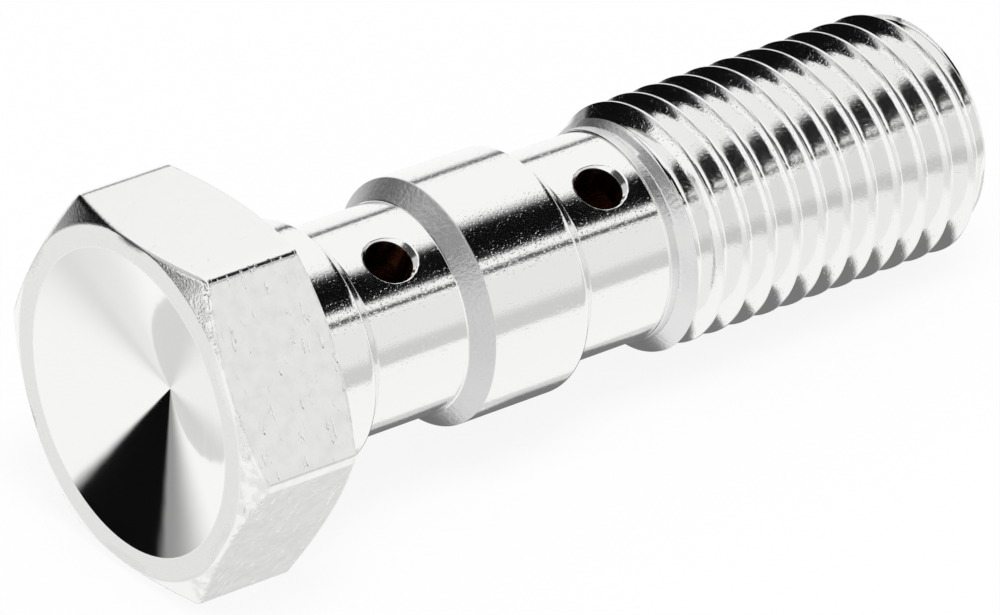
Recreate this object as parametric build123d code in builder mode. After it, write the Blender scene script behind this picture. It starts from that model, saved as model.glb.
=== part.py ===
from build123d import *
from math import atan2, cos, degrees, radians, sin, tan
import os

# Double banjo bolt, M10 x 1.25, turned and drilled from one length of hexagon bar. Millimetres.
# The origin is the centre of the seat, the annular face under the head. The bolt lies as it comes to rest on a
# table, on one flat of its head and the end of its thread, so its axis dips a little below +X. +Z is up.
# Stations are distances from the seat along the bolt, towards the thread.

# Head
across_flats = 13.9
head_height = 5.1
head_chamfer_angle = 24   # from the face, cut by a turning tool, so each flat ends in an arc
face_chamfer_margin = 0.05   # the chamfer of the outer face starts this far inside the flats
seat_chamfer_margin = 0.15   # and that of the seat this far
corner_clearance = 0.3    # how far the turned cones are drawn beyond the corners of the bar
face_ring_width = 0.9     # flat ring left between the chamfer and the dimple
dimple_depth = 1.95

# Shank: the collar, the land and the thread blank are turned to one diameter, and the waists are cut below it
shank_diameter = 9.8
waist_depth = 0.725       # measured on the radius
collar_length = 2.7
land_start = 7.6
land_length = 4.45        # the cylinder between the two cones
edge_rounding = 0.45      # soft corner where the collar and the land fall off towards the thread

# Thread: the blank is plain here, at the crest diameter
thread_pitch = 1.25
thread_depth = 0.6134 * thread_pitch   # of a metric external thread
thread_cone_start = 17.66
root_band_height = 0.075  # narrow raised band on the waist, at the foot of the cone that leads up to the thread
root_band_length = 0.36
thread_end = 33.0

# Fluid passages
bore_diameter = 5.8
bore_bottom = 3.8         # station where the drilled bore leaves its full diameter
drill_point_angle = 118
bore_mouth_chamfer = 0.5
hole_diameter = 1.9
hole_mouth_diameter = 2.3
hole_mouth_angle = 90
hole_spacing = 10.0
first_hole = 5.5
hole_clock = 28.2         # turned from straight up, towards -Y, about the bolt's axis

face_radius = across_flats / 2 - face_chamfer_margin
seat_radius = across_flats / 2 - seat_chamfer_margin
dimple_radius = face_radius - face_ring_width
shank_radius = shank_diameter / 2
waist_radius = shank_radius - waist_depth
root_band_radius = waist_radius + root_band_height
bore_radius = bore_diameter / 2

# The lowest point of the head is the middle of a flat, where the chamfer of the seat begins. The other end rests on
# the last full circle of the thread.
head_contact = -seat_chamfer_margin * tan(radians(head_chamfer_angle))
thread_contact = thread_end - thread_depth
rest_tilt = degrees(atan2(across_flats / 2 - shank_radius, thread_contact - head_contact))

along = Vector(cos(radians(rest_tilt)), 0, -sin(radians(rest_tilt)))
bolt_axis = Axis((0, 0, 0), along)
section_plane = Plane((0, 0, 0), x_dir=along, z_dir=(0, -1, 0))   # local X runs along the bolt, local Y outwards
seat_plane = Plane((0, 0, 0), x_dir=(0, 1, 0), z_dir=along)


def across_plane(station, clock):
    """Plane tangent to the waist at a station, facing outwards at a clock angle about the bolt's axis."""
    outwards = section_plane.y_dir.rotate(bolt_axis, clock)
    return Plane(along * station + outwards * waist_radius, x_dir=along, z_dir=outwards)


with BuildPart() as banjo_bolt:
    # Hexagon bar, with one flat up and one down
    with BuildSketch(seat_plane):
        RegularPolygon(across_flats / 2, 6, major_radius=False)
    extrude(amount=-head_height)

    # Both ends of the head are turned to a cone, which cuts the six corners and leaves an arc on each flat
    turned_radius = across_flats / 2 / cos(radians(30)) + corner_clearance
    face_drop = (turned_radius - face_radius) * tan(radians(head_chamfer_angle))
    seat_drop = (turned_radius - seat_radius) * tan(radians(head_chamfer_angle))
    with BuildSketch(section_plane):
        with BuildLine():
            Polyline(
                (-head_height, 0),
                (-head_height, face_radius),
                (-head_height + face_drop, turned_radius),
                (-seat_drop, turned_radius),
                (0, seat_radius),
                (0, 0),
                close=True,
            )
        make_face()
    revolve(axis=bolt_axis, mode=Mode.INTERSECT)

    # Conical dimple in the outer face
    with BuildSketch(section_plane):
        with BuildLine():
            Polyline(
                (-head_height, 0),
                (-head_height, dimple_radius),
                (-head_height + dimple_depth, 0),
                close=True,
            )
        make_face()
    revolve(axis=bolt_axis, mode=Mode.SUBTRACT)

    # Turned shank: collar, first waist, land, second waist, root band and thread blank, with 45 degree cones
    land_end = land_start + waist_depth + land_length
    with BuildSketch(section_plane) as shank_section:
        with BuildLine():
            Polyline(
                (-dimple_depth, 0),
                (-dimple_depth, shank_radius),
                (collar_length, shank_radius),
                (collar_length + waist_depth, waist_radius),
                (land_start, waist_radius),
                (land_start + waist_depth, shank_radius),
                (land_end, shank_radius),
                (land_end + waist_depth, waist_radius),
                (thread_cone_start - root_band_length, waist_radius),
                (thread_cone_start - root_band_length, root_band_radius),
                (thread_cone_start, root_band_radius),
                (thread_cone_start + shank_radius - root_band_radius, shank_radius),
                (thread_contact, shank_radius),
                (thread_end, shank_radius - thread_depth),
                (thread_end, 0),
                close=True,
            )
        make_face()
        outer_corners = shank_section.vertices().group_by(Axis.Y)[-1].sort_by(Axis.X)
        collar_end_corner, land_end_corner = outer_corners[1], outer_corners[3]
        fillet([collar_end_corner, land_end_corner], radius=edge_rounding)
    revolve(axis=bolt_axis)

    # Blind fluid bore from the threaded end, with its drill point and a chamfered mouth
    drill_point = bore_radius / tan(radians(drill_point_angle / 2))
    with BuildSketch(section_plane):
        with BuildLine():
            Polyline(
                (bore_bottom - drill_point, 0),
                (bore_bottom, bore_radius),
                (thread_end - bore_mouth_chamfer, bore_radius),
                (thread_end, bore_radius + bore_mouth_chamfer),
                (thread_end, 0),
                close=True,
            )
        make_face()
    revolve(axis=bolt_axis, mode=Mode.SUBTRACT)

    # Each waist is drilled right through both walls, and each mouth is countersunk
    for station in (first_hole, first_hole + hole_spacing):
        with Locations(across_plane(station, hole_clock), across_plane(station, hole_clock + 180)):
            CounterSinkHole(
                radius=hole_diameter / 2,
                counter_sink_radius=hole_mouth_diameter / 2,
                depth=waist_radius,
                counter_sink_angle=hole_mouth_angle,
            )

banjo_bolt.part.label = "banjo_bolt"

os.makedirs("parts", exist_ok=True)
export_step(banjo_bolt.part, "parts/banjo_bolt.step")

print(f"rest tilt {rest_tilt:.4f} degrees, volume {banjo_bolt.part.volume:.1f} mm3")
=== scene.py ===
# %% [markdown]
# # A chromed double banjo bolt
# A banjo bolt holds brake hoses against a caliper and carries the fluid through its own hollow shank.
# This one lies on a white table, on one flat of its head and the end of its thread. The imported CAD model
# gives the true size and the resting pose. This script dresses it: it replaces the plain solid with a
# skin that has the real screw thread, softened edges and chrome plate, and lights it like a small product
# photograph.

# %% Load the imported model
import math

import bpy
import numpy as np
from mathutils import Matrix, Vector


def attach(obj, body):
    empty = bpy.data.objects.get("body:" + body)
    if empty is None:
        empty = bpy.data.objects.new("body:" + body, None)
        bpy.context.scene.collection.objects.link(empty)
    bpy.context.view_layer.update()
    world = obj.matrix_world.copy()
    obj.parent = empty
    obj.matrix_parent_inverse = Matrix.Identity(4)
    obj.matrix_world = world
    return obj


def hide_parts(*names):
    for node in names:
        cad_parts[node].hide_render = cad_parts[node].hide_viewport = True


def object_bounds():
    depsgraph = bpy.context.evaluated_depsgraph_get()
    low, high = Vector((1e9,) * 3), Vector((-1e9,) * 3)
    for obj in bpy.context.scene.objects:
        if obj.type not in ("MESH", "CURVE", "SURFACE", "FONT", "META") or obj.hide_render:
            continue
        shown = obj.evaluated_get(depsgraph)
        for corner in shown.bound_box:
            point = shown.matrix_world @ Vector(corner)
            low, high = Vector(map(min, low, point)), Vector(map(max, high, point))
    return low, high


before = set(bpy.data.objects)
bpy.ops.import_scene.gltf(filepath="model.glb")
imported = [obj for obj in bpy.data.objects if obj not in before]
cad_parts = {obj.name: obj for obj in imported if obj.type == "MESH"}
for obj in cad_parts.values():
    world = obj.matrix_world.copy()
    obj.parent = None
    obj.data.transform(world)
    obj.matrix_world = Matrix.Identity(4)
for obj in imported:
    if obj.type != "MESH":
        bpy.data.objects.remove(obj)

cad_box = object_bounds()
print("CAD box, mm:", [[round(v * 1000, 2) for v in corner] for corner in cad_box])

# %% [markdown]
# ## Sizes
# Everything is worked out in a frame of the bolt's own, in millimetres: x runs from the seat under the
# head towards the thread, and a clock angle is measured about the axis from straight up towards the near
# side. The last step turns the finished skin into the resting pose and into metres.

# %% Sizes of the bolt, in millimetres
ACROSS_FLATS = 13.9
HEAD_HEIGHT = 5.1
CHAMFER_SLOPE = math.tan(math.radians(24))
FACE_RADIUS, SEAT_RADIUS = 6.9, 6.8
DIMPLE_RADIUS, DIMPLE_DEPTH = 6.0, 1.95
SHANK_RADIUS, WAIST_RADIUS, BAND_RADIUS = 4.9, 4.175, 4.25
COLLAR_END, LAND_START, LAND_END = 2.7, 8.325, 12.775
CONE = SHANK_RADIUS - WAIST_RADIUS
BAND_START, THREAD_START, THREAD_END = 17.3, 17.66, 33.0
PITCH, THREAD_DEPTH = 1.25, 0.767
BORE_RADIUS, BORE_BOTTOM, MOUTH_CHAMFER = 2.9, 3.8, 0.5
DRILL_POINT = BORE_RADIUS / math.tan(math.radians(59))
HOLE_RADIUS, HOLE_MOUTH_RADIUS = 0.95, 1.15
HOLE_STATIONS, HOLE_CLOCK = (5.5, 15.5), 28.2
REST_TILT = math.atan2(ACROSS_FLATS / 2 - SHANK_RADIUS, THREAD_END - THREAD_DEPTH + 0.15 * CHAMFER_SLOPE)
COLUMNS = 144  # vertices round the bolt, 24 to each flat
MIDDLE = (0.012, 0, 0)  # in metres: near the middle of the shank, where the cards and the key light aim
print("rest tilt", round(math.degrees(REST_TILT), 3), "degrees")


# %% [markdown]
# ## From the bolt's frame to the row's frame
# The bolt tips down towards its thread by the rest tilt, a turn about the level axis across it.

# %% Turn points or directions into the resting pose
def to_row(vectors):
    """Turns about Y by the rest tilt: x mixes cos and sin of x and z, z mixes minus sin and cos."""
    c, s = math.cos(REST_TILT), math.sin(REST_TILT)
    x, y, z = vectors[..., 0], vectors[..., 1], vectors[..., 2]
    return np.stack([c * x + s * z, y, -s * x + c * z], axis=-1)


def spoke(clock):
    """Unit vector out from the axis at a clock angle in radians: minus sine along Y and cosine along Z."""
    return np.stack([np.zeros_like(clock), -np.sin(clock), np.cos(clock)], axis=-1)


# %% [markdown]
# ## A profile with soft corners
# A turned part is a profile carried round its axis. Real edges are never sharp: the tool leaves a small
# radius and the plating rounds it again. So the profile is a chain of straight lines whose corners are
# replaced by arcs, and each point keeps its exact normal. Those normals are given to the mesh, because
# chrome shows every facet.

# %% Round the corners of a profile
def rounded(corners, radii, steps, arc_steps=3):
    """Points and normals along a chain of lines, and the number of the line that each belongs to. Each
    corner becomes an arc that touches both lines at a distance of radius times the tangent of half the
    turn. The normal is the line's direction turned left by a right angle."""
    corners = np.array(corners, float)
    rows, normals, line = [], [], []
    start = corners[0]
    for k in range(1, len(corners)):
        way = (corners[k] - corners[k - 1]) / np.linalg.norm(corners[k] - corners[k - 1])
        normal = np.array([-way[1], way[0]])
        turn, end = 0.0, corners[k]
        if k < len(corners) - 1:
            onward = corners[k + 1] - corners[k]
            turn = math.atan2(way[0] * onward[1] - way[1] * onward[0], way @ onward)
            end = corners[k] - way * radii[k] * math.tan(abs(turn) / 2)
        length = float(np.linalg.norm(end - start))
        count = max(1, round(length / steps[k]))
        share = np.concatenate([[0, min(0.4 / count, 0.05 / length)], np.linspace(0, 1, count + 1)[1:]])
        rows.append(start + (end - start) * share[:, None])
        normals.append(np.repeat(normal[None], len(share), axis=0))
        angles = np.linspace(0, turn, arc_steps + 2)[1:]
        centre = end + math.copysign(radii[k], turn) * normal
        cosine, sine = np.cos(angles), np.sin(angles)
        spin = np.stack([cosine, -sine, sine, cosine], axis=1).reshape(-1, 2, 2)
        rows.append(centre + spin @ (end - centre))
        normals.append(spin @ normal)
        line += [k] * (len(rows[-2]) + len(rows[-1]))
        start = rows[-1][-1]
    rows, normals, line = np.concatenate(rows), np.concatenate(normals), np.array(line)
    fresh = np.concatenate([[True], np.linalg.norm(np.diff(rows, axis=0), axis=1) > 1e-6])
    return rows[fresh], normals[fresh], line[fresh]


def soft_min(a, b, width):
    """The smaller of two values, with a parabola where they are close, and the share of the first in it."""
    share = np.clip(0.5 + 0.5 * (b - a) / width, 0, 1)
    return b * (1 - share) + a * share - width * share * (1 - share), share


# %% [markdown]
# ## The skin as one list of points
# All the patches are sewn into one closed mesh. Each patch adds its points and gets back their numbers,
# and patches that meet use the same numbers, so there is no seam. Every patch runs the same way round, so
# that all faces look out.

# %% Collect points and faces
skin = {"points": [], "normals": [], "bare": [], "matte": [], "faces": []}


def add_points(points, normals, bare=0.0, matte=0.0):
    """Stores a patch's points with their normals and finish, and returns their numbers in its shape."""
    shape = points.shape[:-1]
    first = sum(len(block) for block in skin["points"])
    for name, value in (("points", points), ("normals", normals)):
        skin[name].append(np.broadcast_to(value, shape + (3,)).reshape(-1, 3))
    for name, value in (("bare", bare), ("matte", matte)):
        skin[name].append(np.broadcast_to(value, shape).reshape(-1))
    return first + np.arange(int(np.prod(shape))).reshape(shape)


def quads_of(grid, closed):
    """Quads between neighbours in a grid of point numbers. A closed grid joins its last column to the
    first."""
    if closed:
        grid = np.concatenate([grid, grid[:, :1]], axis=1)
    return np.stack([grid[:-1, :-1], grid[:-1, 1:], grid[1:, 1:], grid[1:, :-1]], axis=-1)


# %% [markdown]
# ## Head and shank
# The head is a hexagon bar cut by a cone at each end. As a surface it is the turned profile, drawn wider
# than the bar, whose radius is then held to the distance of the nearest flat. The columns crowd towards
# the six corners, where the plated edge is only a tenth of a millimetre wide, and spread out evenly again
# on the way to the shank.

# %% Hexagon radius and crowded columns
even_clock = np.arange(COLUMNS) * (2 * math.pi / COLUMNS)
HALF = COLUMNS // 12  # columns from the middle of a flat to its corner
from_corner = np.arange(COLUMNS) % (2 * HALF) - HALF
corner_clock = even_clock - from_corner * math.radians(30 / HALF)
CROWDING = 1.8  # a power: at 1 the columns would be even
crowded = np.sign(from_corner) * (np.abs(from_corner) / HALF) ** CROWDING
crowded_clock = corner_clock + math.radians(30) * crowded
CORNER_WIDTH, CHAMFER_WIDTH = 0.26, 0.22  # how wide the head's edges are softened: flat to flat, cone to flat


def hexagon(clock):
    """Distance from the axis to the bar at a clock angle: half the width across flats over the cosine of
    the angle to the nearest flat, softened where two flats meet. Also the normal, which turns from one
    flat to the next there."""
    sector = math.radians(60)
    near = np.round(clock / sector)
    offset = clock - near * sector
    other = near + np.where(offset >= 0, 1, -1)
    r_near = ACROSS_FLATS / 2 / np.cos(offset)
    r_other = ACROSS_FLATS / 2 / np.cos(clock - other * sector)
    radius, share = soft_min(r_near, r_other, CORNER_WIDTH)
    normal = spoke(near * sector) * share[..., None] + spoke(other * sector) * (1 - share[..., None])
    return radius, normal / np.linalg.norm(normal, axis=-1, keepdims=True)


print("across corners, softened:", round(2 * float(hexagon(crowded_clock)[0].max()), 3), "mm")

# %% Profile from the dimple to the foot of the thread
WIDE = 8.3  # radius beyond the corners, where the two chamfer cones are cut off
BLOCK = 1.55  # half the length of the patch round each cross hole
SMOOTH, TURNED, DRAWN, DULL, COARSE, GRAINY = 0.0, 0.12, 0.3, 0.6, 0.8, 1.0  # how rough the plating looks
face_x, seat_x = -HEAD_HEIGHT + (WIDE - FACE_RADIUS) * CHAMFER_SLOPE, -(WIDE - SEAT_RADIUS) * CHAMFER_SLOPE
# station, radius, radius of the soft corner, step of the rows on the line up to it, finish of that line
outline = np.array([
    (-HEAD_HEIGHT + DIMPLE_DEPTH, 0, 0, 1, SMOOTH),
    (-HEAD_HEIGHT, DIMPLE_RADIUS, 0.06, 1.0, SMOOTH),
    (-HEAD_HEIGHT, FACE_RADIUS, 0.30, 0.4, DULL),
    (face_x, WIDE, 0.05, 0.06, DRAWN),
    (seat_x, WIDE, 0.05, 0.7, DRAWN),
    (0, SEAT_RADIUS, 0.20, 0.07, DULL),
    (0, SHANK_RADIUS, 0.15, 0.35, DULL),
    (COLLAR_END, SHANK_RADIUS, 0.45, 0.9, TURNED),
    (COLLAR_END + CONE, WAIST_RADIUS, 0.15, 0.3, TURNED),
    (HOLE_STATIONS[0] - BLOCK, WAIST_RADIUS, 0, 0.3, TURNED),
    (HOLE_STATIONS[0] + BLOCK, WAIST_RADIUS, 0, BLOCK / 11, TURNED),
    (LAND_START - CONE, WAIST_RADIUS, 0.05, 0.3, TURNED),
    (LAND_START, SHANK_RADIUS, 0.07, 0.3, GRAINY),
    (LAND_END, SHANK_RADIUS, 0.45, 1.1, TURNED),
    (LAND_END + CONE, WAIST_RADIUS, 0.15, 0.3, TURNED),
    (HOLE_STATIONS[1] - BLOCK, WAIST_RADIUS, 0, 0.3, TURNED),
    (HOLE_STATIONS[1] + BLOCK, WAIST_RADIUS, 0, BLOCK / 11, TURNED),
    (BAND_START, WAIST_RADIUS, 0.03, 0.2, TURNED),
    (BAND_START, BAND_RADIUS, 0.03, 0.03, DULL),
    (THREAD_START, BAND_RADIUS, 0, 0.12, COARSE)])
profile, profile_normal, line = rounded(outline[:, :2], outline[:, 2], outline[:, 3])
finish = outline[line, 4]
print("profile rows:", len(profile))

# %% Carry the profile round the axis and hold it to the hexagon
spread = np.clip((profile[:, 1] - SHANK_RADIUS) / (SEAT_RADIUS - SHANK_RADIUS), 0, 1)
spread = np.select([profile[:, 0] < -0.01, profile[:, 0] <= 1e-6], [1.0, spread], 0.0)
clock = even_clock + (crowded_clock - even_clock) * spread[:, None]
hex_radius, hex_normal = hexagon(clock)
radius, share = soft_min(profile[:, 1:2], hex_radius, CHAMFER_WIDTH)
outside_dimple = ((profile[:, 0] < 0.3) & (profile[:, 1] > DIMPLE_RADIUS + 0.1))[:, None]
radius = np.where(outside_dimple, radius, profile[:, 1:2])
share = np.where(outside_dimple, share, 1.0)
outward = spoke(clock)
points = radius[..., None] * outward
points[..., 0] = profile[:, :1]
turned_normal = profile_normal[:, None, 1:] * outward
turned_normal[..., 0] = profile_normal[:, :1]
normals = turned_normal * share[..., None] + hex_normal * (1 - share[..., None])
body = add_points(points, normals, matte=finish[:, None] * share + DRAWN * (1 - share))

# %% [markdown]
# ## Cross holes
# Each waist is drilled right through. The skin there is a square patch of the grid taken out and filled
# with rings that shrink from the square to the round mouth, go down the drilled wall, and open out again
# on the bore inside.

# %% Rings from a square patch to a hole
def border(block):
    """Numbers round the edge of a block of stations by clock angles, anticlockwise from outside."""
    middle = block.shape[1] // 2
    return np.concatenate([block[-1, middle::-1], block[-2::-1, 0], block[0, 1:], block[1:, -1],
                           block[-1, -2:middle:-1]])


def hole_frame(station, clock):
    """Origin on the axis and the three directions of a cross hole: along the bolt, round it, outwards."""
    c, s = math.cos(clock), math.sin(clock)
    return np.array([station, 0, 0]), np.array([1.0, 0, 0]), np.array([0, -c, -s]), np.array([0, -s, c])


def drill(outer_block, inner_block, station, clock):
    """Rings about the hole's axis. On the waist the height is the cylinder's, root of R squared less the
    square of the sideways distance, or the countersink cone's, radius of the mouth less distance from the
    hole, if lower."""
    origin, along, sideways, out = hole_frame(station, clock)
    stored = np.concatenate(skin["points"])
    edge_out, edge_in = border(outer_block), border(inner_block)

    def around(numbers):
        local = stored[numbers] - origin
        return np.arctan2(-(local @ sideways), local @ along), local @ along, local @ sideways

    angle_out, x_out, w_out = around(edge_out)
    angle_in, x_in, w_in = around(edge_in)

    def place(x, w, height):
        return origin + x[..., None] * along + w[..., None] * sideways + height[..., None] * out

    def mouth(x, w):
        waist = np.sqrt(WAIST_RADIUS**2 - w**2)
        return soft_min(waist, WAIST_RADIUS - (HOLE_MOUTH_RADIUS - np.hypot(x, w)), 0.02)

    def waist_patch(x, w):
        height, share = mouth(x, w)
        away = np.hypot(x, w)[..., None]
        flare = (x[..., None] * along + w[..., None] * sideways) / away
        on_waist = w[..., None] * sideways + height[..., None] * out
        on_waist /= np.linalg.norm(on_waist, axis=-1, keepdims=True)
        tilt = on_waist * share[..., None] + (out - flare) * math.sqrt(0.5) * (1 - share[..., None])
        return place(x, w, height), tilt

    # Two rings between the square and the widest circle, then circles that crowd at the countersink
    circles = np.array([1.42, 1.30, 1.20, 1.15, 1.11, 1.07, 1.03, 0.99, 0.96])[:, None]
    x_round, w_round = circles * np.cos(angle_out), -circles * np.sin(angle_out)
    blend = np.array([0.33, 0.66])[:, None]
    x = np.concatenate([x_out * (1 - blend) + x_round[:1] * blend, x_round])
    w = np.concatenate([w_out * (1 - blend) + w_round[:1] * blend, w_round])
    points, normals = waist_patch(x, w)
    rings = [edge_out[None], add_points(points, normals, matte=0.15)]
    # Down the drilled wall, where the plating soon gives out
    depth = np.array([0.0, 0.03, 0.1, 0.3, 0.6, 0.85, 0.97, 1.0])[:, None]
    unplated = np.clip(depth * 12 - 0.3, 0, 1)
    angle = angle_out + (np.unwrap(angle_in) - np.unwrap(angle_out)) * depth
    x, w = HOLE_RADIUS * np.cos(angle), -HOLE_RADIUS * np.sin(angle)
    top, bottom = mouth(x, w)[0], np.sqrt(BORE_RADIUS**2 - w**2)
    wall = -(x[..., None] * along + w[..., None] * sideways) / HOLE_RADIUS
    rings.append(add_points(place(x, w, top + (bottom - top) * depth), wall, bare=unplated, matte=0.5))
    # Out again over the bore to its own square
    blend = np.array([0.1, 0.3, 0.6])[:, None]
    x = HOLE_RADIUS * np.cos(angle_in) * (1 - blend) + x_in * blend
    w = -HOLE_RADIUS * np.sin(angle_in) * (1 - blend) + w_in * blend
    height = np.sqrt(BORE_RADIUS**2 - w**2)
    inward = -(w[..., None] * sideways + height[..., None] * out) / BORE_RADIUS
    rings += [add_points(place(x, w, height), inward, bare=1.0, matte=0.6), edge_in[None]]
    skin["faces"].append(quads_of(np.concatenate(rings), True).reshape(-1, 4))


# %% Bore from the mouth at the thread end to the drill point
inside = np.array([
    (THREAD_END, SHANK_RADIUS - THREAD_DEPTH, 0, 1), (THREAD_END, BORE_RADIUS + MOUTH_CHAMFER, 0.05, 0.3),
    (THREAD_END - MOUTH_CHAMFER, BORE_RADIUS, 0.05, 0.3), (HOLE_STATIONS[1] + BLOCK, BORE_RADIUS, 0, 3.0),
    (HOLE_STATIONS[1] - BLOCK, BORE_RADIUS, 0, BLOCK / 6), (HOLE_STATIONS[0] + BLOCK, BORE_RADIUS, 0, 2.0),
    (HOLE_STATIONS[0] - BLOCK, BORE_RADIUS, 0, BLOCK / 6), (BORE_BOTTOM, BORE_RADIUS, 0.05, 0.2),
    (BORE_BOTTOM - DRILL_POINT, 0, 0, 1.0)])
inner, inner_normal = rounded(inside[:, :2], inside[:, 2], inside[:, 3])[:2]
outward = spoke(np.broadcast_to(even_clock, (len(inner), COLUMNS)))
points = inner[:, None, 1:] * outward
points[..., 0] = inner[:, :1]
normals = inner_normal[:, None, 1:] * outward
normals[..., 0] = inner_normal[:, :1]
depth_inside = np.clip((THREAD_END - MOUTH_CHAMFER - inner[:, :1]) / 1.5, 0, 1)
bore = add_points(points, normals, bare=depth_inside, matte=0.5)
print("bore rows:", len(inner))


# %% Take the blocks out of both grids, drill, and sew the rest
def sew_rows(grid, rows_x, half_columns):
    """Joins the rows of a grid, leaving out the blocks at the cross holes, and returns those blocks."""
    taken = np.zeros((len(rows_x) - 1, COLUMNS), bool)
    blocks = []
    for station in HOLE_STATIONS:
        rows = np.flatnonzero(np.abs(rows_x - station) < BLOCK + 1e-3)
        for turn in (0, COLUMNS // 2):
            middle = round(HOLE_CLOCK / 360 * COLUMNS) + turn
            columns = np.arange(middle - half_columns, middle + half_columns + 1) % COLUMNS
            block = grid[np.ix_(rows, columns)]
            blocks.append(block if rows_x[rows[0]] < rows_x[rows[-1]] else block[::-1])
            taken[np.ix_(rows[:-1], columns[:-1])] = True
    skin["faces"].append(quads_of(grid, True)[~taken])
    return blocks


waist_blocks = sew_rows(body, profile[:, 0], 9)
bore_blocks = sew_rows(bore, inner[:, 0], 14)
print("block sizes:", waist_blocks[0].shape, bore_blocks[0].shape)
stations_and_clocks = [(s, math.radians(HOLE_CLOCK + turn)) for s in HOLE_STATIONS for turn in (0, 180)]
for outer_block, inner_block, (station, clock_angle) in zip(waist_blocks, bore_blocks, stations_and_clocks):
    drill(outer_block, inner_block, station, clock_angle)

# %% [markdown]
# ## The screw thread
# The thread is a right-hand M10 x 1.25. Its rows of points follow the helix, so the thin crests stay
# clean lines. A row starts below the foot of the cone and is held there until the helix has climbed above
# it, which closes the ends of the thread onto plain circles. The radius at a point is the least of the
# thread's own profile, the cone that leads up to it, and the chamfer at its end.

# %% One pitch of the thread, from crest to crest
crest_flat = 0.05  # half of the flat on the crest
root_flat = PITCH / 2 - crest_flat - THREAD_DEPTH * math.tan(math.radians(30))
root_radius = SHANK_RADIUS - THREAD_DEPTH
THREAD_PHASE = 0.30  # station of a crest at clock zero, give or take whole pitches
pitch_line = [(0, SHANK_RADIUS), (crest_flat, SHANK_RADIUS), (PITCH / 2 - root_flat, root_radius),
              (PITCH / 2 + root_flat, root_radius), (PITCH - crest_flat, SHANK_RADIUS),
              (PITCH, SHANK_RADIUS)]
one_pitch, *_ = rounded(pitch_line, [0, 0.03, 0.004, 0.004, 0.03, 0], [1, 0.1, 0.3, 0.2, 0.3, 0.1])
PER_PITCH = len(one_pitch) - 1
RUN_IN = (0.66, 0.5)  # the groove starts this far before the foot of the cone, and is full this far on
print("points per pitch:", PER_PITCH, "crest flat", round(2 * crest_flat, 3), "mm, root flat",
      round(2 * root_flat, 3), "mm")


def thread_radius(x, clock):
    """Least of the cone, the end chamfer and the thread, and whether the cone is the least. The floor of
    the groove sinks along its first turn, where the cutting tool runs in, as a smooth step of the crest
    before it."""
    helix = THREAD_PHASE + PITCH * clock / (2 * math.pi)
    crest_before = helix + PITCH * np.floor((x - helix) / PITCH)
    sunk = np.clip((crest_before - THREAD_START + RUN_IN[0]) / RUN_IN[1], 0, 1)
    floor = SHANK_RADIUS - THREAD_DEPTH * sunk**2 * (3 - 2 * sunk)
    thread = np.maximum(np.interp(x - crest_before, *one_pitch.T), floor)
    cone = BAND_RADIUS + x - THREAD_START
    chamfer = root_radius + THREAD_END - x
    return soft_min(soft_min(cone, thread, 0.04)[0], chamfer, 0.05)[0], cone < thread


# %% Helical rows, held between the two end circles
first_turn = math.floor((THREAD_START - PITCH - THREAD_PHASE) / PITCH)
turns = math.ceil((THREAD_END - THREAD_PHASE) / PITCH) - first_turn
turn_start = THREAD_PHASE + PITCH * (first_turn + np.arange(turns))
row_start = (turn_start[:, None] + one_pitch[:-1, 0]).reshape(-1)
x = row_start[:, None] + PITCH * even_clock / (2 * math.pi)
CLOSE = 0.004  # points this close to an end circle become the circle's own
low, high = x <= THREAD_START + CLOSE, x >= THREAD_END - CLOSE
x = np.clip(x, THREAD_START, THREAD_END)
clock = np.broadcast_to(even_clock, x.shape)
nudge = 0.006  # the slopes are measured this far to each side
radius, on_cone = thread_radius(x, clock)
slope_x = (thread_radius(x + nudge, clock)[0] - thread_radius(x - nudge, clock)[0]) / (2 * nudge)
slope_turn = (thread_radius(x, clock + nudge)[0] - thread_radius(x, clock - nudge)[0]) / (2 * nudge)
outward = spoke(clock)
points = radius[..., None] * outward
points[..., 0] = x
normals = outward - (slope_turn / radius)[..., None] * spoke(clock + math.pi / 2)
normals[..., 0] -= slope_x
normals /= np.linalg.norm(normals, axis=-1, keepdims=True)
CREST_DEPTH = 0.012  # the plating is dull this far down from the crests
on_crest = radius > SHANK_RADIUS - CREST_DEPTH
thread = add_points(points, normals, matte=np.select([on_cone, on_crest], [COARSE, DULL], TURNED))
thread = np.where(low, body[-1], np.where(high, bore[0], thread))
skin["faces"].append(quads_of(thread, False).reshape(-1, 4))
seam = np.stack([thread[:-PER_PITCH, -1], thread[PER_PITCH:, 0]], axis=1)  # a full turn on is one pitch on
skin["faces"].append(quads_of(seam, False).reshape(-1, 4))
print("thread rows:", len(row_start), "over", turns, "turns")

# %% [markdown]
# ## From patches to a mesh
# The quads become triangles, those squeezed flat where rows are held together are dropped, and points
# that no face uses go too. The two rows of equal points at the apex of the dimple and of the drill point
# become one point each.

# %% Build the mesh
xyz, normal = np.concatenate(skin["points"]), np.concatenate(skin["normals"])
bare, matte = np.concatenate(skin["bare"]), np.concatenate(skin["matte"])
quads = np.concatenate(skin["faces"])
same = np.arange(len(xyz))
same[body[0]] = body[0, 0]
same[bore[-1]] = bore[-1, 0]
normal[body[0, 0]], normal[bore[-1, 0]] = (-1, 0, 0), (1, 0, 0)
triangles = same[np.concatenate([quads[:, [0, 1, 2]], quads[:, [0, 2, 3]]])]
whole = (triangles != np.roll(triangles, 1, axis=1)).all(axis=1)
used, triangles = np.unique(triangles[whole], return_inverse=True)
triangles = triangles.reshape(-1, 3)
xyz, normal, bare, matte = xyz[used], normal[used], bare[used], matte[used]

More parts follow.
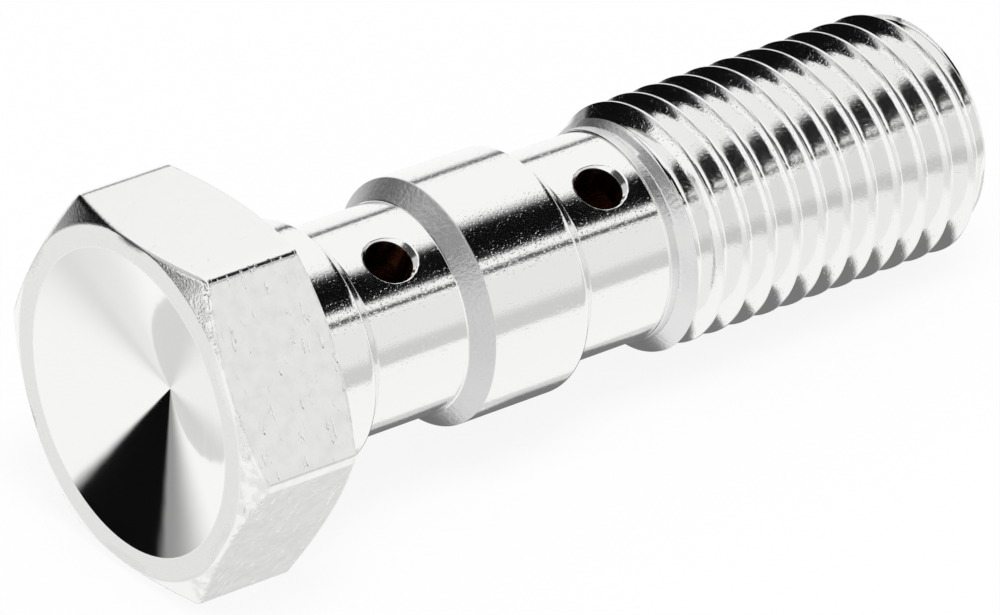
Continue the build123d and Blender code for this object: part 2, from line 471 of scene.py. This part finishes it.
mesh = bpy.data.meshes.new("banjo_bolt_skin")
mesh.from_pydata((to_row(xyz) * 0.001).tolist(), [], triangles.tolist())
mesh.shade_smooth()
normal /= np.linalg.norm(normal, axis=1, keepdims=True)
mesh.normals_split_custom_set_from_vertices(to_row(normal).tolist())
for name, value in (("bare_steel", bare), ("tool_marks", matte)):
    mesh.attributes.new(name, "FLOAT", "POINT").data.foreach_set("value", value.astype(np.float32))
bolt = bpy.data.objects.new("bolt_skin", mesh)
bpy.context.collection.objects.link(bolt)
sides = np.sort(np.concatenate([triangles[:, [0, 1]], triangles[:, [1, 2]], triangles[:, [2, 0]]]), axis=1)
open_edges = int((np.unique(sides, axis=0, return_counts=True)[1] != 2).sum())
a, b, c = np.moveaxis(xyz[triangles], 1, 0)
volume = (a * np.cross(b, c)).sum() / 6
facing = (np.cross(b - a, c - a) * normal[triangles].mean(axis=1)).sum(axis=1)
print(len(triangles), "triangles,", open_edges, "open edges, volume", round(float(volume), 1), "mm3,",
      int((facing < 0).sum()), "faces against their normals")
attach(bolt, "root")
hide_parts("banjo_bolt")


# %% [markdown]
# ## Chrome plate
# Decorative chrome over turned steel is a mirror, slightly warmer than silver. It shows the marks that
# the lathe left in the steel under it: fine rings and pits on the cylinders, and a duller, grainy look on
# the steep cones. Inside the holes the plating doesn't reach and the steel is brown. All of it could be
# painted as separate materials, but the finishes blend into each other, so one metal shader follows two
# values stored in the mesh, and fine patterns of bumps are set out in the bolt's own directions.

# %% Small helpers for materials
def linear(hex_colour):
    """sRGB hex to linear: c / 12.92 up to 0.04045, above it ((c + 0.055) / 1.055) to the power 2.4."""
    c = np.array([int(hex_colour[i:i + 2], 16) for i in (1, 3, 5)]) / 255
    return (*np.where(c <= 0.04045, c / 12.92, ((c + 0.055) / 1.055) ** 2.4).tolist(), 1.0)


def add_node(tree, kind, inputs=(), output=0, **settings):
    """Adds a node, sets its properties, sets or links its inputs, and gives back one of its outputs."""
    node = tree.nodes.new(kind)
    for name, value in settings.items():
        setattr(node, name, value)
    for name, value in dict(inputs).items():
        if isinstance(value, bpy.types.NodeSocket):
            tree.links.new(value, node.inputs[name])
        else:
            node.inputs[name].default_value = value
    return node.outputs[output] if node.outputs else node


def new_material(name):
    """An empty node material and its node tree."""
    material = bpy.data.materials.new(name)
    material.use_nodes = True
    material.node_tree.nodes.clear()
    return material, material.node_tree


# %% Chrome plated, turned steel: what the mesh stores, and noise patterns by their real size
chrome, tree = new_material("chrome_plated_turned_steel")
place = add_node(tree, "ShaderNodeTexCoord", output="Object")
level = add_node(tree, "ShaderNodeMapping", {
    "Vector": place, "Rotation": (0, -REST_TILT, 0), "Scale": (1000, 1000, 1000)})
marks = add_node(tree, "ShaderNodeAttribute", output="Fac", attribute_name="tool_marks")
unplated = add_node(tree, "ShaderNodeAttribute", output="Fac", attribute_name="bare_steel")
pattern = {}
for name, size, detail in (  # size in millimetres along the bolt and across it
        ("waves", (1.4, 1.4, 1.4), 1), ("rings", (0.12, 4, 4), 2), ("grain", (0.11, 0.11, 0.11), 2),
        ("pits", (0.1, 0.1, 0.1), 1), ("mottle", (0.26, 0.18, 0.18), 2), ("patches", (0.5, 0.5, 0.5), 3),
        ("dents", (0.2, 0.6, 0.9), 2)):
    stretched = add_node(tree, "ShaderNodeMapping", {"Vector": level, "Scale": tuple(1 / s for s in size)})
    pattern[name] = add_node(tree, "ShaderNodeTexNoise", {
        "Vector": stretched, "Scale": 1.0, "Detail": detail}, "Fac")
print("noise patterns:", ", ".join(pattern))

# %% [markdown]
# ## Wear on the head
# Spanners and the bin where such bolts lie loose leave the flats of the head with small dents, and their
# curved edges with burrs. The distance to each curved edge follows from the chamfer cones: on the cone,
# the distance from the axis is a straight function of the station, so the difference between the two
# tells how far a point lies inside.

# %% Masks for the flats, their two curved edges, and the two flats that are worn most
station = add_node(tree, "ShaderNodeSeparateXYZ", {0: level}, "X")
across = add_node(tree, "ShaderNodeMapping", {"Vector": level, "Scale": (0, 1, 1)})
distance = add_node(tree, "ShaderNodeVectorMath", {0: across}, "Value", operation="LENGTH")
edges = []
for slope, radius_there in ((1, FACE_RADIUS + HEAD_HEIGHT / CHAMFER_SLOPE), (-1, SEAT_RADIUS)):
    cone = add_node(tree, "ShaderNodeMath", {0: station, 1: slope / CHAMFER_SLOPE, 2: radius_there},
                    operation="MULTIPLY_ADD")
    edges.append(add_node(tree, "ShaderNodeMath", {0: cone, 1: distance}, operation="SUBTRACT"))
inside_edge = add_node(tree, "ShaderNodeMath", {0: edges[0], 1: edges[1]}, operation="MINIMUM")
on_head = add_node(tree, "ShaderNodeMapRange", {0: station, 1: -0.1, 2: -0.05, 3: 1, 4: 0})
on_flat = add_node(tree, "ShaderNodeMapRange", {
    0: distance, 1: ACROSS_FLATS / 2 - 0.03, 2: ACROSS_FLATS / 2 + 0.01})
on_flat = add_node(tree, "ShaderNodeMath", {0: on_flat, 1: on_head}, operation="MULTIPLY")
near_side = spoke(np.radians(90)).tolist()
towards = add_node(tree, "ShaderNodeVectorMath", {0: level, 1: near_side}, "Value", operation="DOT_PRODUCT")
worn = add_node(tree, "ShaderNodeMapRange", {0: towards, 1: 3.9, 2: 4.2, 3: 0.1, 4: 1})
worn = add_node(tree, "ShaderNodeMath", {0: worn, 1: on_flat}, operation="MULTIPLY")
print("most worn side faces", [round(v, 3) for v in near_side])

# %% Burrs along the edges, dents, mottling and pits
from_edge = add_node(tree, "ShaderNodeMath", {0: inside_edge}, operation="ABSOLUTE")
burred = add_node(tree, "ShaderNodeMapRange", {0: from_edge, 1: 0.05, 2: 0.4, 3: 1, 4: 0})
patchy = add_node(tree, "ShaderNodeMapRange", {0: pattern["patches"], 1: 0.38, 2: 0.5})
burred = add_node(tree, "ShaderNodeMath", {0: burred, 1: patchy}, operation="MULTIPLY")
burred = add_node(tree, "ShaderNodeMath", {0: burred, 1: worn}, operation="MULTIPLY")
dents = add_node(tree, "ShaderNodeMapRange", {0: pattern["dents"], 1: 0.64, 2: 0.72})
dents = add_node(tree, "ShaderNodeMath", {0: dents, 1: worn}, operation="MULTIPLY")
pits = add_node(tree, "ShaderNodeMapRange", {0: pattern["pits"], 1: 0.6, 2: 0.76})
turned = add_node(tree, "ShaderNodeMapRange", {0: station, 1: -0.05, 2: 0, 3: 0, 4: 1})
scuffed = add_node(tree, "ShaderNodeMapRange", {0: pattern["patches"], 1: 0.4, 2: 0.7, 3: 0, 4: 0.3})
scuffed = add_node(tree, "ShaderNodeMath", {0: scuffed, 1: worn}, operation="MULTIPLY")

# %% Colour, roughness and the layers of unevenness
PLATING, DULL_PLATING, BROWN_STEEL = linear("#F5F5F4"), linear("#DCDCDC"), linear("#8C6E54")
grainy = add_node(tree, "ShaderNodeMapRange", {0: marks, 1: DULL, 2: GRAINY})
dulled = add_node(tree, "ShaderNodeMath", {0: grainy, 1: scuffed}, operation="MAXIMUM")
plating = add_node(tree, "ShaderNodeMix", {"Factor": dulled, "A": PLATING, "B": DULL_PLATING}, "Result",
                   data_type="RGBA")
colour = add_node(tree, "ShaderNodeMix", {"Factor": unplated, "A": plating, "B": BROWN_STEEL}, "Result",
                  data_type="RGBA")
roughness = add_node(tree, "ShaderNodeMapRange", {0: marks, 1: 0, 2: 1, 3: 0.06, 4: 0.42})
roughness = add_node(tree, "ShaderNodeMath", {0: burred, 1: 0.2, 2: roughness}, operation="MULTIPLY_ADD")
layers = (  # pattern, height in millimetres, and where it shows
    (pattern["waves"], 0.004, 1.0), (pattern["rings"], 0.004, turned), (pits, -0.0025, turned),
    (pattern["grain"], 0.012, marks), (pattern["mottle"], 0.025, grainy), (pattern["patches"], 0.006, worn),
    (pattern["grain"], 0.035, burred), (dents, -0.03, 1.0))
normal = None
for height, depth, strength in layers:
    inputs = {"Height": height, "Distance": depth * 0.001, "Strength": strength}
    normal = add_node(tree, "ShaderNodeBump", inputs if normal is None else {**inputs, "Normal": normal})
metal = add_node(tree, "ShaderNodeBsdfPrincipled", {
    "Base Color": colour, "Metallic": 1.0, "Roughness": roughness, "Normal": normal})
add_node(tree, "ShaderNodeOutputMaterial", {"Surface": metal})
mesh.materials.append(chrome)
print("layers of bumps:", len(layers), "highest", max(abs(depth) for _, depth, _ in layers), "mm")

# %% [markdown]
# ## Table and light tent
# A product photographer lays such a bolt on white acrylic under a white tent. The metal shows little but
# the tent, so its shape is drawn by a few grey and black cards that the camera doesn't see. The table
# could simply be mirrored in the metal, but the photograph's metal shows a plain white floor that lies
# far below, as if the bolt stood on a sheet of clear glass. So the metal sees far things alone, which
# keeps the edges in its reflections straight.

# %% White table
TABLE_Z = cad_box[0][2]
table_mesh = bpy.data.meshes.new("table")
table_corners = [(x, y, TABLE_Z) for x, y in ((-2, -2), (2, -2), (2, 2), (-2, 2))]
table_mesh.from_pydata(table_corners, [], [(0, 1, 2, 3)])
table = bpy.data.objects.new("table", table_mesh)
bpy.context.collection.objects.link(table)
table.visible_glossy = False


def shown_white(tree, base, white, share):
    """The base shader, mixed with white light by the given share for camera, mirror and glass rays."""
    path = add_node(tree, "ShaderNodeLightPath").node.outputs
    seen = path["Is Camera Ray"]
    for ray in ("Is Glossy Ray", "Is Transmission Ray"):
        seen = add_node(tree, "ShaderNodeMath", {0: seen, 1: path[ray]}, operation="MAXIMUM")
    amount = add_node(tree, "ShaderNodeMath", {0: seen, 1: share}, operation="MULTIPLY")
    return add_node(tree, "ShaderNodeMixShader", {"Fac": amount, 1: base, 2: white})


WHITE = linear("#FFFFFF")
acrylic, tree = new_material("white_acrylic_table")
diffuse = add_node(tree, "ShaderNodeBsdfDiffuse", {"Color": linear("#EDEDED")})
glow = add_node(tree, "ShaderNodeEmission", {"Color": WHITE, "Strength": 1.0})
add_node(tree, "ShaderNodeOutputMaterial", {"Surface": shown_white(tree, diffuse, glow, 0.88)})
table_mesh.materials.append(acrylic)
print("table at", round(TABLE_Z * 1000, 2), "mm")

# %% White tent
world = bpy.data.worlds.new("white_tent")
bpy.context.scene.world = world
world.use_nodes = True
tree = world.node_tree
tree.nodes.clear()
tent = add_node(tree, "ShaderNodeBackground", {"Color": WHITE, "Strength": 0.7})
bright = add_node(tree, "ShaderNodeBackground", {"Color": WHITE, "Strength": 1.0})
add_node(tree, "ShaderNodeOutputWorld", {"Surface": shown_white(tree, tent, bright, 1.0)})

# %% [markdown]
# ## Cards that only the metal sees
# A card is a curved sheet far from the bolt, set out by angles. One way to say where it is gives its
# azimuth, from the thread's direction towards the far side, and its height above the table. The other way
# asks which metal should show it to the camera: metal at a clock angle, tilted towards the thread by some
# degrees. The mirror law then gives the direction. The second way draws a straight line along the shank,
# which is how the photograph's dark bands look.

# %% Directions across a grid between four corners
# Right, up and towards the camera, in the bolt's frame
camera_right, camera_up, camera_back = np.array([
    [0.7879, -0.6148, 0.0351], [0.2796, 0.4079, 0.8692], [-0.5487, -0.6750, 0.4933]])
along, up = np.meshgrid(np.linspace(0, 1, 17), np.linspace(0, 1, 17))


def between(low_left, low_right, high_right, high_left):
    """Two angles in radians across the grid. Its corners weigh (1 - u)(1 - v), u(1 - v), uv, (1 - u)v."""
    weights = ((1 - along) * (1 - up), along * (1 - up), along * up, (1 - along) * up)
    corners = np.radians((low_left, low_right, high_right, high_left))
    return sum(weight[..., None] * corner for weight, corner in zip(weights, corners))


def looking(*corners):
    """Directions by azimuth and height: cos of height times cos and sin of azimuth, and sin of height."""
    azimuth, height = np.moveaxis(between(*corners), -1, 0)
    level = np.cos(height)
    return np.stack([level * np.cos(azimuth), level * np.sin(azimuth), np.sin(height)], axis=-1)


def mirrored(*corners):
    """Directions that metal at a clock angle and a tilt towards the thread shows to the camera: twice the
    normal times its product with the direction of the camera, less the direction of the camera."""
    clock, tilt = np.moveaxis(between(*corners), -1, 0)
    normal = np.cos(tilt)[..., None] * spoke(clock)
    normal[..., 0] = np.sin(tilt)
    return to_row(2 * (normal @ camera_back)[..., None] * normal - camera_back)


# %% One card
def add_card(name, directions, light, soft, distance=0.8):
    """A card through a grid of directions from the middle of the bolt, with light as its brightness. Its
    four edges fade out over the soft shares of its size: left, right, low and high."""
    shape = bpy.data.meshes.new(name)
    quads = quads_of(np.arange(along.size).reshape(along.shape), False).reshape(-1, 4)
    shape.from_pydata((directions * distance + MIDDLE).reshape(-1, 3).tolist(), [], quads.tolist())
    shares = np.stack([along, up], axis=-1).reshape(-1, 2)[quads.reshape(-1)]
    shape.uv_layers.new(name="across").data.foreach_set("uv", shares.reshape(-1).astype(np.float32))
    card = bpy.data.objects.new(name, shape)
    bpy.context.collection.objects.link(card)
    card.visible_camera = card.visible_diffuse = card.visible_shadow = card.visible_transmission = False
    material, tree = new_material(name)
    across = add_node(tree, "ShaderNodeUVMap", uv_map="across")
    share = add_node(tree, "ShaderNodeSeparateXYZ", {0: across}).node.outputs
    left, right, low, high = soft
    amount = 1.0
    for axis, start, end in (("X", 0, left), ("X", 1, 1 - right), ("Y", 0, low), ("Y", 1, 1 - high)):
        fade = add_node(tree, "ShaderNodeMapRange", {0: share[axis], 1: start, 2: end},
                        interpolation_type="SMOOTHSTEP")
        amount = add_node(tree, "ShaderNodeMath", {0: amount, 1: fade}, operation="MULTIPLY")
    clear = add_node(tree, "ShaderNodeBsdfTransparent")
    grey = add_node(tree, "ShaderNodeEmission", {"Color": WHITE, "Strength": light})
    add_node(tree, "ShaderNodeOutputMaterial", {
        "Surface": add_node(tree, "ShaderNodeMixShader", {"Fac": amount, 1: clear, 2: grey})})
    shape.materials.append(material)


# %% The floor of the tent, which goes all the way round, and the cards
BLACK = 0.004  # the light of black paper under the tent
add_card("floor_of_the_tent", looking((-180, -89), (180, -89), (180, -17), (-180, -17)),
         1.0, (0.001, 0.001, 0.001, 0.05), distance=1.5)
# Bands and lines along the shank, by the mirror law
add_card("black_over_thread", mirrored((31, -17), (53, -17), (33, 42), (10, 42)),
         BLACK, (0.28, 0.06, 0.06, 0.1))
add_card("strip_behind", mirrored((-11, -20), (-4.4, -20), (-4.4, 20), (-11, 20)),
         0.12, (0.7, 0.15, 0.05, 0.05))
add_card("strip_right", mirrored((50.4, -20), (53.6, -20), (53.2, 20), (50, 20)),
         0.03, (0.25, 0.25, 0.05, 0.05), distance=0.75)
# To the right of the camera
add_card("grey_right", looking((-100, -17), (-15, -17), (-15, 27), (-100, 27)),
         0.86, (0.1, 0.1, 0.03, 0.03))
add_card("grey_low_right", looking((-100, -18), (-15, -18), (-15, 2), (-100, 2)),
         0.66, (0.1, 0.1, 0.1, 0.4), distance=0.79)
# Behind the bolt, to the left
add_card("black_behind_left", looking((80, 1), (150, -17), (150, 26), (80, 44)),
         BLACK, (0.1, 0.03, 0.08, 0.1))
add_card("black_low_behind_left", looking((122, -13), (151, -13), (163, 12), (134, 12)),
         BLACK, (0.15, 0.12, 0.1, 0.15), distance=0.79)
add_card("dim_behind_left", looking((98, -50), (163, -50), (163, -24), (98, -24)),
         0.76, (0.4, 0.4, 0.3, 0.3), distance=0.85)
add_card("dim_under_black", looking((88, -24), (134, -26), (134, 0), (88, 4)),
         0.32, (0.2, 0.2, 0.55, 0.02), distance=0.86)
add_card("dim_above_left", looking((98, 24), (206, 24), (206, 62), (98, 62)),
         0.62, (0.15, 0.15, 0.15, 0.2), distance=0.85)
# On the camera's own side
add_card("dim_front_low", looking((-178, -32), (-120, -32), (-120, -6), (-178, -6)),
         0.8, (0.3, 0.3, 0.3, 0.3))
add_card("camera_side", looking((150, 26), (226, 26), (226, 62), (150, 62)),
         0.06, (0.1, 0.1, 0.2, 0.2))
# Steeply below, seen in the metal instead of the table
add_card("grey_below", looking((6, -76), (50, -76), (50, -56), (6, -56)),
         0.68, (0.1, 0.2, 0.2, 0.08), distance=1.3)

# %% [markdown]
# ## The shadow that the metal sees
# One near thing does show in the metal: the dark strip of table right under the bolt, as a line along the
# bottom of the shank. The table itself is hidden from mirror rays, so a dark strip lies on it for them
# alone.

# %% Dark strip under the bolt
STRIP_Z = TABLE_Z + 0.00005  # just clear of the table


def under_bolt(stations, near, far):
    """A level grid on the table, in metres from the middle of the bolt, with a bent near edge."""
    x = stations[0] + (stations[-1] - stations[0]) * along
    edge = np.interp(x, stations, near)
    return np.stack([x - MIDDLE[0], edge + (far - edge) * up, np.full(up.shape, STRIP_Z)], axis=-1)


strip_stations = (0.001, 0.009, 0.011, 0.0155, 0.017, 0.019, 0.021, 0.036)
strip_near_edge = (-0.0023, -0.0023, -0.0034, -0.0034, -0.0024, -0.0026, -0.0037, -0.0038)
add_card("shadow_under_bolt", under_bolt(strip_stations, strip_near_edge, 0.005),
         0.2, (0.03, 0.03, 0.06, 0.3), distance=1.0)
print("strip under the bolt at", round(STRIP_Z * 1000, 2), "mm")

# %% [markdown]
# ## Key light and camera
# A soft key light high on the camera's side keeps the table's shadow under and behind the bolt. The
# camera is a long lens far away: the photograph's lines along the bolt hardly converge. Its place was
# solved from the corners of the head, the circles of the shank and the pitch of the thread.

# %% Key light
key_data = bpy.data.lights.new("key_light", "AREA")
key_data.energy, key_data.size = 1.2, 0.2
key = bpy.data.objects.new("key_light", key_data)
bpy.context.collection.objects.link(key)
key.location = (-0.03, -0.14, 0.45)
key.rotation_euler = (Vector(MIDDLE) - key.location).to_track_quat("-Z", "Y").to_euler()
key.visible_glossy = False
print("key light", key_data.energy, "W")

# %% Camera
camera_place = np.array([-209.32, -272.82, 197.81])  # in millimetres, in the bolt's frame
camera_data = bpy.data.cameras.new("camera")
camera_data.sensor_fit, camera_data.sensor_width, camera_data.lens = "HORIZONTAL", 36, 382.9
camera_data.clip_start, camera_data.clip_end = 0.01, 10
camera = bpy.data.objects.new("camera", camera_data)
bpy.context.collection.objects.link(camera)
turn = Matrix(np.stack([to_row(camera_right), to_row(camera_up), to_row(camera_back)], axis=1).tolist())
camera.matrix_world = Matrix.Translation(Vector(to_row(camera_place) * 0.001)) @ turn.to_4x4()
bpy.context.scene.camera = camera
bpy.context.scene.view_settings.view_transform = "Standard"
print("camera", round(float(np.linalg.norm(camera_place))), "mm away, lens", camera_data.lens, "mm")
